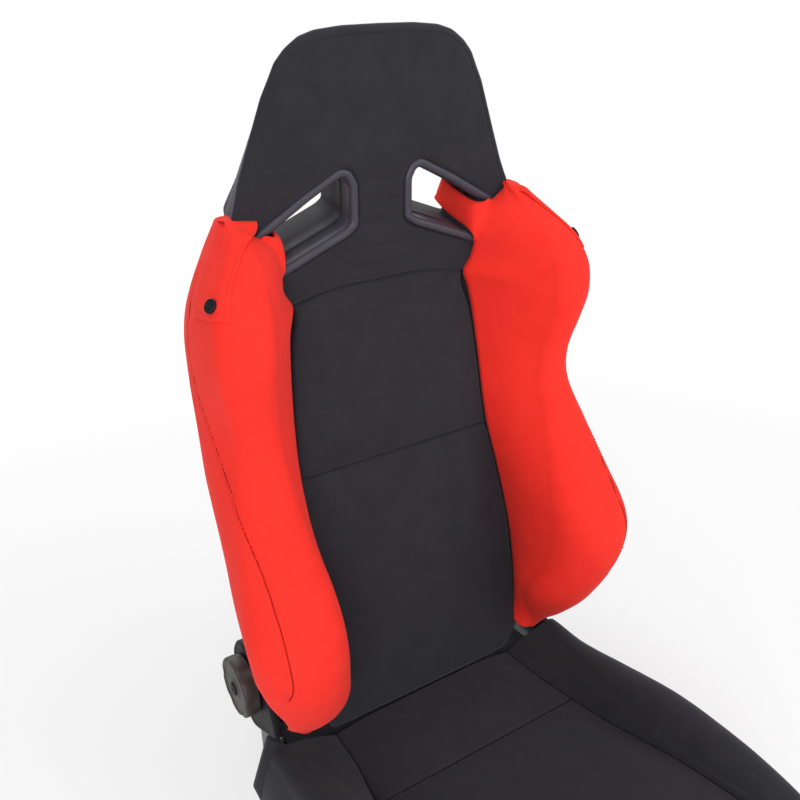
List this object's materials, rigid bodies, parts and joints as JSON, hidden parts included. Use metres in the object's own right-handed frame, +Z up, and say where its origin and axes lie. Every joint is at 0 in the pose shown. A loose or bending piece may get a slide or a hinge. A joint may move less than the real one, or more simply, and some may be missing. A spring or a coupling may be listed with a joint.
{
  "type": "reclining sport seat",
  "caption": "Reclining bucket-style car seat with deep side bolsters, fixed headrest with two belt openings, removable side covers and dial recliners.",
  "frame": {"origin": "centre of the four floor bolts, on the underside of the side frames", "axes": "+Z up, -Y the way the seat faces, +X to the right of someone looking at its front"},
  "size_m": [0.5432, 0.6611, 1.017],
  "materials": {
    "red_cloth": "knitted suede-like cloth, matt",
    "black_cloth": "knitted suede-like cloth, matt",
    "grey_plastic": "fine grained",
    "knob_plastic": "satin",
    "zinc_steel": "zinc plated",
    "snap_metal": "black lacquer",
    "frame_steel": "satin black powder coat"
  },
  "bodies": {
    "base": {"side_frame_left": "frame_steel", "side_frame_right": "frame_steel", "front_cross_tube": "frame_steel", "rear_cross_tube": "frame_steel", "seat_pan": "frame_steel", "seat_pad_rear": "black_cloth", "seat_pad_front": "black_cloth", "seat_bolster_left": "black_cloth", "seat_bolster_right": "black_cloth", "recliner_plate_left": "frame_steel", "recliner_plate_right": "frame_steel", "recliner_housing_left": "grey_plastic", "recliner_housing_right": "grey_plastic", "plate_bolts": "zinc_steel"},
    "backrest": {"back_plate_left": "frame_steel", "back_plate_right": "frame_steel", "back_tube_left": "frame_steel", "back_tube_right": "frame_steel", "back_top_tube": "frame_steel", "back_lower_tube": "frame_steel", "back_springs": "zinc_steel", "back_panel_lower": "black_cloth", "back_panel_upper": "black_cloth", "neck_pad": "black_cloth", "head_pad": "black_cloth", "bolster_core_left": "black_cloth", "bolster_core_right": "black_cloth", "side_cover_left": "red_cloth", "side_cover_right": "red_cloth", "belt_bezel_left": "grey_plastic", "belt_bezel_right": "grey_plastic", "back_shell": "black_cloth", "strap_left": "red_cloth", "strap_right": "red_cloth", "strap_snaps": "snap_metal"},
    "recliner_drive": {"drive_shaft": "zinc_steel", "dial_left": "knob_plastic", "dial_right": "knob_plastic", "dial_screws": "zinc_steel"}
  },
  "joints": [
    {"name": "backrest_recline", "type": "hinge", "parent": "base", "child": "backrest", "pos_m": [0, 0.208, 0.248], "axis": [-1, 0, 0], "range_deg": [-20, 60]},
    {"name": "dial_spin", "type": "hinge", "parent": "base", "child": "recliner_drive", "pos_m": [0, 0.208, 0.248], "axis": [-1, 0, 0], "range_deg": [-600, 1800]}
  ],
  "couplings": [
    {"joint": "dial_spin", "follows": "backrest_recline", "ratio": 30}
  ]
}
